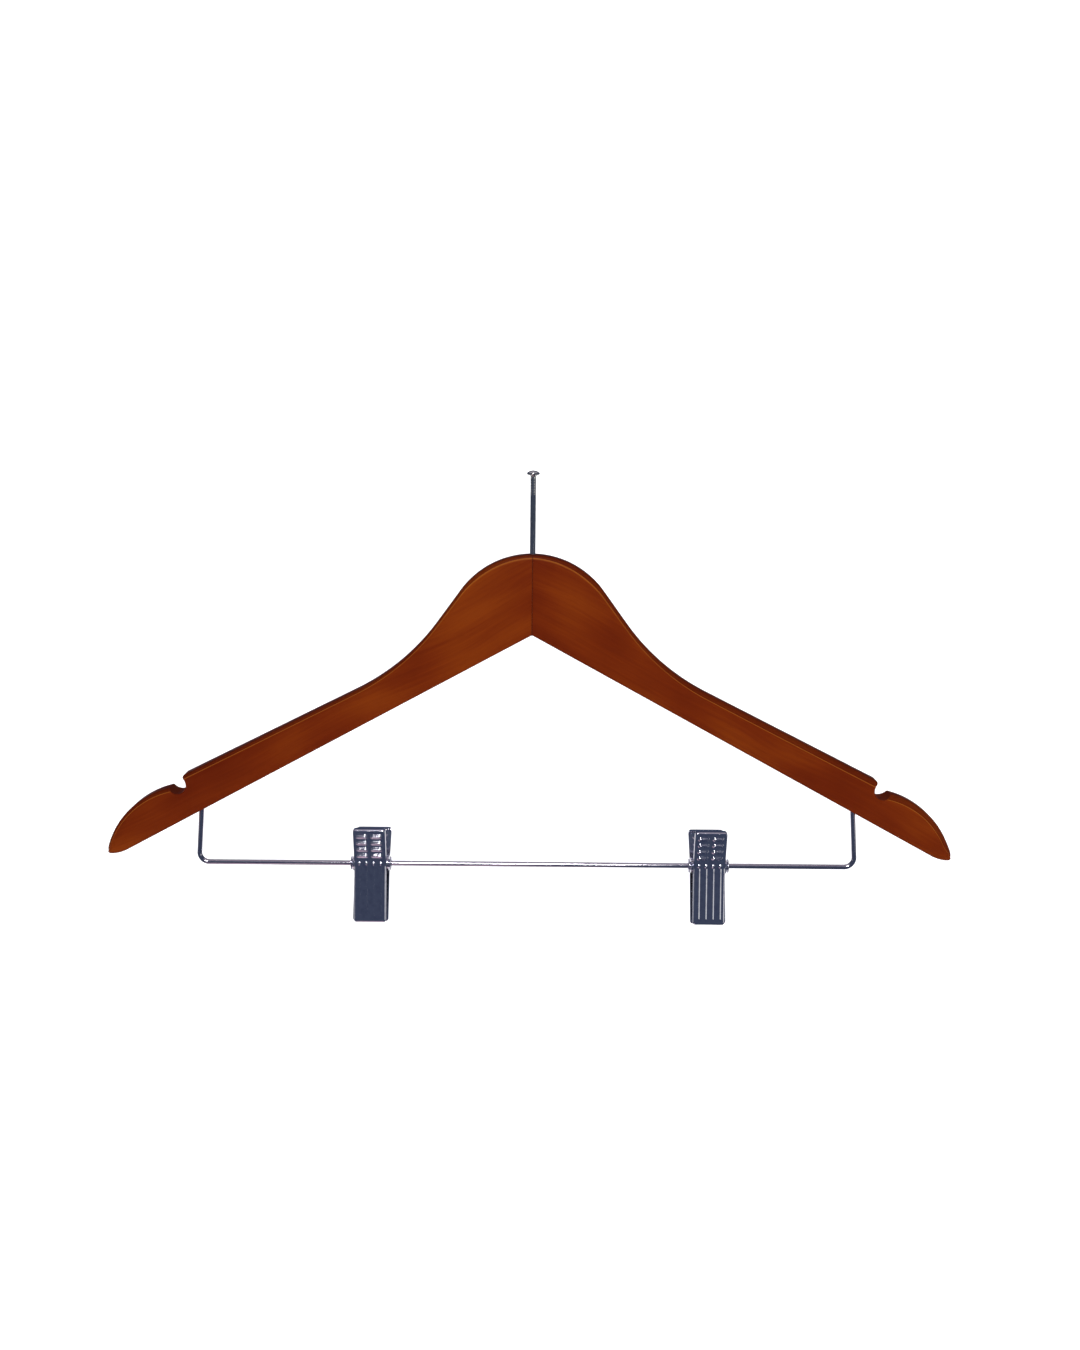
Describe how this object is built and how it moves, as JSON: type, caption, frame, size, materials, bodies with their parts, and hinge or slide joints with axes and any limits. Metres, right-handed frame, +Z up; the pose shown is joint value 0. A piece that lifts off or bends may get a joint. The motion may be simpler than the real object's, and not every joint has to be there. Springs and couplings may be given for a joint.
{
  "type": "clothes hanger",
  "caption": "Wooden clothes hanger with a swivelling nail-head pin in place of a hook, strap notches, and a chrome wire bar with sprung sliding trouser clips.",
  "frame": {"origin": "on the pin's axis at the underside of its head, where the security ring takes hold", "axes": "+Z up along the pin, +X along the hanger towards the right tip, +Y to the back; the front faces -Y"},
  "size_m": [0.445, 0.0261, 0.2377],
  "materials": {
    "wood": "red-brown stain under satin lacquer",
    "pin_chrome": "polished chrome plate",
    "bar_chrome": "polished chrome plate",
    "clip_chrome": "chrome plate on pressed steel",
    "spring_steel": "bright spring wire",
    "brass": "turned",
    "pad": "soft matt PVC"
  },
  "bodies": {
    "frame": {"left_arm": "wood", "right_arm": "wood", "swivel_sleeve": "brass", "clip_bar": "bar_chrome"},
    "pin": {"security_pin": "pin_chrome"},
    "left_tube": {"left_pivot_tube": "clip_chrome"},
    "left_back": {"left_back_jaw": "clip_chrome", "left_back_pad": "pad", "left_clip_spring": "spring_steel"},
    "left_front": {"left_front_jaw": "clip_chrome", "left_front_pad": "pad"},
    "right_tube": {"right_pivot_tube": "clip_chrome"},
    "right_back": {"right_back_jaw": "clip_chrome", "right_back_pad": "pad", "right_clip_spring": "spring_steel"},
    "right_front": {"right_front_jaw": "clip_chrome", "right_front_pad": "pad"}
  },
  "joints": [
    {"name": "pin_swivel", "type": "hinge", "parent": "frame", "child": "pin", "pos_m": [0, 0, 0], "axis": [0, 0, 1], "continuous": true},
    {"name": "left_clip_slide", "type": "slide", "parent": "frame", "child": "left_tube", "axis": [1, 0, 0], "range_m": [-0.072, 0.073]},
    {"name": "left_clip_swing", "type": "hinge", "parent": "left_tube", "child": "left_back", "pos_m": [-0.0845, 0, -0.2042], "axis": [1, 0, 0], "continuous": true},
    {"name": "left_clip_open", "type": "hinge", "parent": "left_back", "child": "left_front", "pos_m": [-0.0845, 0, -0.2042], "axis": [-1, 0, 0], "range_deg": [0, 35], "stiffness_Nm_per_rad": 0.18, "springref_deg": -28.65, "deforming": ["left_clip_spring"]},
    {"name": "right_clip_slide", "type": "slide", "parent": "frame", "child": "right_tube", "axis": [1, 0, 0], "range_m": [-0.084, 0.062]},
    {"name": "right_clip_swing", "type": "hinge", "parent": "right_tube", "child": "right_back", "pos_m": [0.095, 0, -0.2042], "axis": [1, 0, 0], "continuous": true},
    {"name": "right_clip_open", "type": "hinge", "parent": "right_back", "child": "right_front", "pos_m": [0.095, 0, -0.2042], "axis": [-1, 0, 0], "range_deg": [0, 35], "stiffness_Nm_per_rad": 0.18, "springref_deg": -28.65, "deforming": ["right_clip_spring"]}
  ]
}
